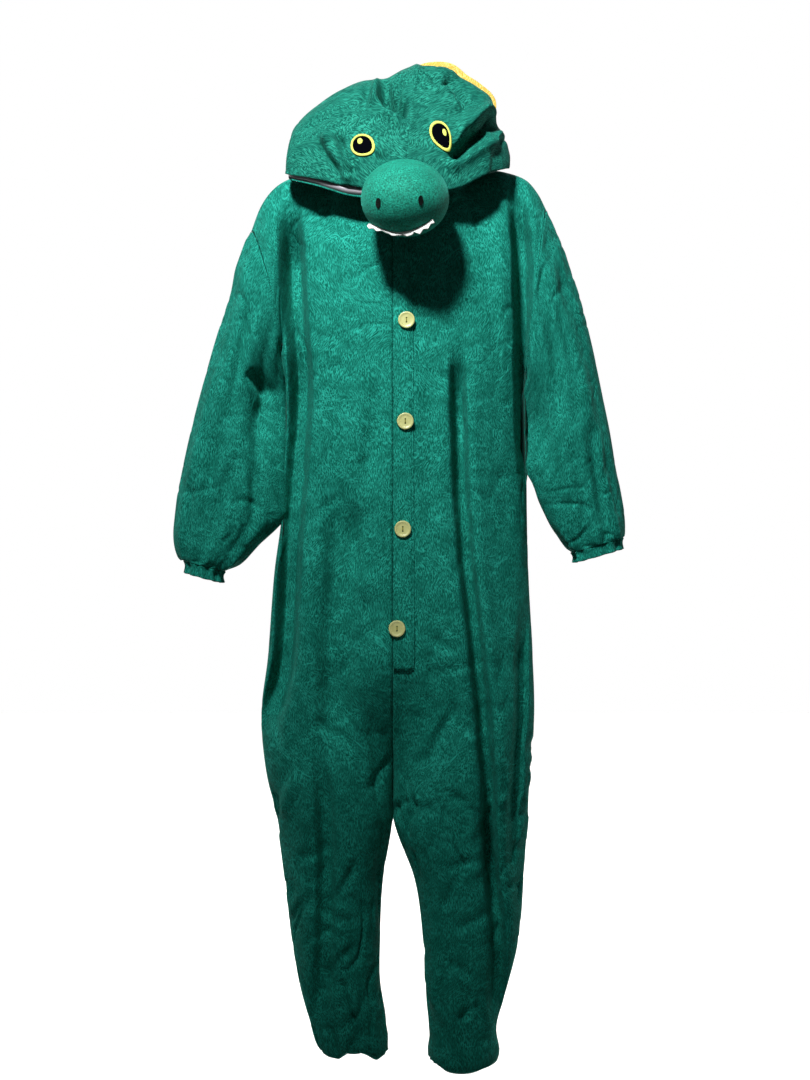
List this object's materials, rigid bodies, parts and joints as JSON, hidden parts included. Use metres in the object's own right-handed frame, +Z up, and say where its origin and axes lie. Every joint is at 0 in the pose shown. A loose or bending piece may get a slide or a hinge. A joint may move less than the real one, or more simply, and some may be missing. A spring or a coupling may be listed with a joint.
{
  "type": "dinosaur costume",
  "caption": "Hooded dinosaur costume: a loose plush onesie with a buttoned front, gathered cuffs and hems, a stuffed snout, felt teeth, embroidered eyes and a crest.",
  "frame": {"origin": "between the shoulders at the neck, where the wearer carries the garment", "axes": "+Z up, +X to the wearer's left, +Y to the wearer's back"},
  "size_m": [0.7165, 0.3436, 1.6042],
  "materials": {
    "green_plush": "short pile",
    "yellow_plush": "short pile",
    "grey_satin": "satin",
    "white_felt": "felt",
    "dark_thread": "embroidery",
    "olive_plastic": "gloss"
  },
  "bodies": {
    "root": {"front_right": "green_plush", "front_left": "green_plush", "back_right": "green_plush", "back_left": "green_plush", "sleeve_right": "green_plush", "sleeve_left": "green_plush", "cuff_right": "green_plush", "cuff_left": "green_plush", "hem_right": "green_plush", "hem_left": "green_plush", "placket": "green_plush", "button_1": "olive_plastic", "button_2": "olive_plastic", "button_3": "olive_plastic", "button_4": "olive_plastic", "hood_right": "green_plush", "hood_left": "green_plush", "chin_right": "green_plush", "chin_left": "green_plush", "hood_lining_right": "grey_satin", "snout": "green_plush", "nostril_right": "dark_thread", "nostril_left": "dark_thread", "teeth": "white_felt", "eye_right": "dark_thread", "eye_left": "dark_thread", "crest": "yellow_plush"}
  },
  "joints": []
}
